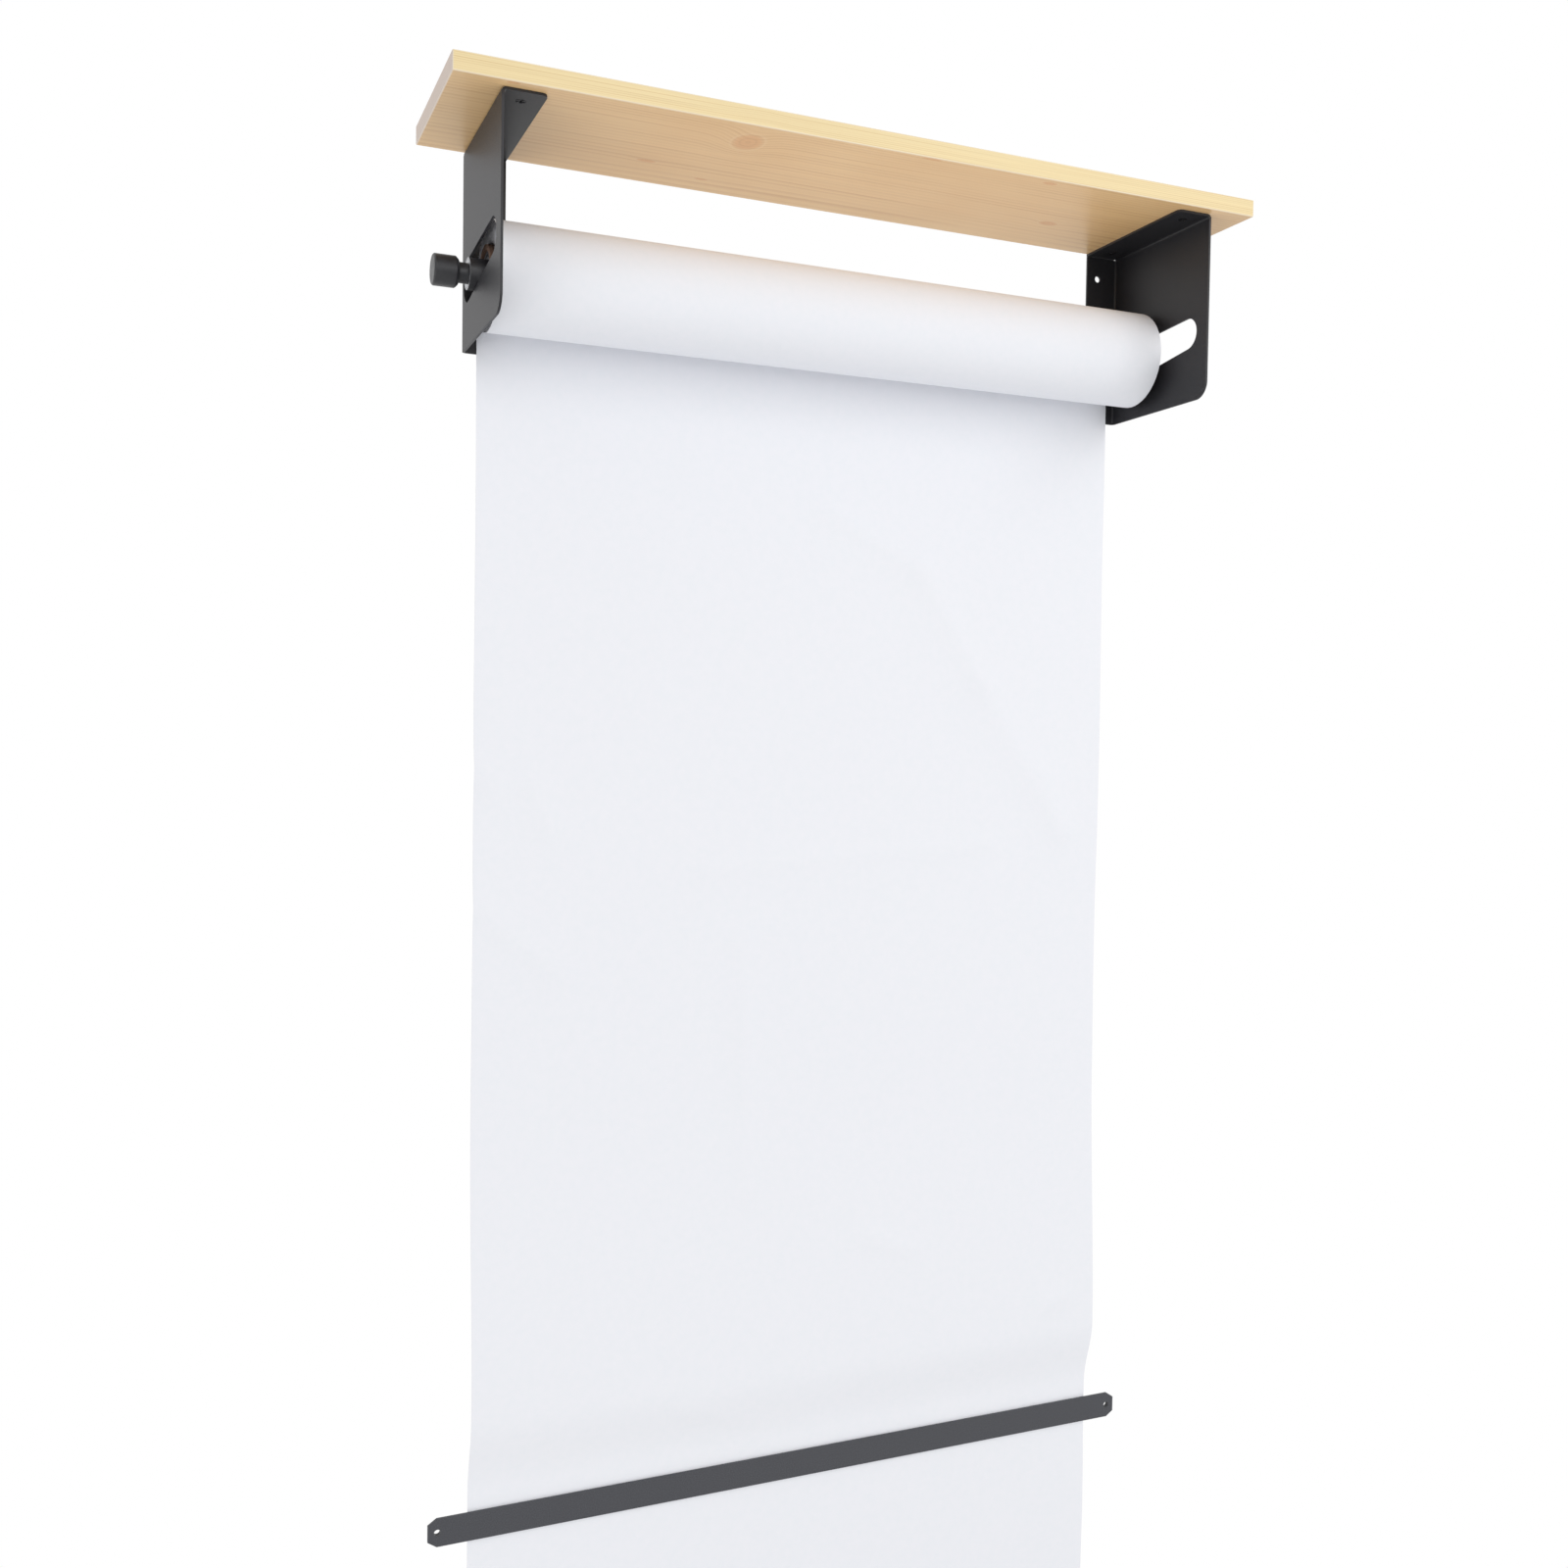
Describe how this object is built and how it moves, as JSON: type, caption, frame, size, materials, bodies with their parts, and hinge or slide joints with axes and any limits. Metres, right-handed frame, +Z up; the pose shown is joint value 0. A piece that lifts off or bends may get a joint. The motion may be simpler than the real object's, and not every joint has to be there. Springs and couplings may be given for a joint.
{
  "type": "wall-mounted paper roll dispenser",
  "caption": "Wall dispenser for a wide paper roll: a pine shelf on slotted steel brackets, a roll on a sliding axle, a hanging sheet and a tear bar below.",
  "frame": {"origin": "on the wall plane, at the centre of the brackets' wall holes", "axes": "+X right along the wall as seen from the room, +Y into the wall, +Z up"},
  "size_m": [0.716, 0.154, 1.322],
  "materials": {
    "pine": "clear satin lacquer on pale pine",
    "bracket_steel": "matte black powder coat",
    "screw_steel": "black oxide",
    "axle_metal": "satin black paint on turned metal",
    "insert_steel": "turned, plain",
    "plug_plastic": "moulded, matte black",
    "core_cardboard": "wound kraft board",
    "white_paper": "uncoated white paper",
    "bar_steel": "matte black powder coat"
  },
  "bodies": {
    "frame": {"shelf_board": "pine", "left_bracket": "bracket_steel", "right_bracket": "bracket_steel", "front_left_shelf_screw": "screw_steel", "rear_left_shelf_screw": "screw_steel", "front_right_shelf_screw": "screw_steel", "rear_right_shelf_screw": "screw_steel", "paper_sheet": "white_paper", "tear_bar": "bar_steel", "left_bar_spacer": "plug_plastic", "right_bar_spacer": "plug_plastic"},
    "axle": {"rod_tube": "axle_metal", "left_tube_insert": "insert_steel", "right_tube_insert": "insert_steel", "left_end_knob": "axle_metal", "right_end_cap": "axle_metal"},
    "roll": {"left_core_plug": "plug_plastic", "right_core_plug": "plug_plastic", "cardboard_core": "core_cardboard", "paper_roll": "white_paper"}
  },
  "joints": [
    {"name": "axle_slide", "type": "slide", "parent": "frame", "child": "axle", "axis": [0, -0.9906, 0.1371], "range_m": [0, 0.0665], "deforming": ["paper_sheet"]},
    {"name": "roll_spin", "type": "hinge", "parent": "axle", "child": "roll", "pos_m": [0, -0.0465, -0.02968], "axis": [1, 0, 0], "continuous": true}
  ]
}
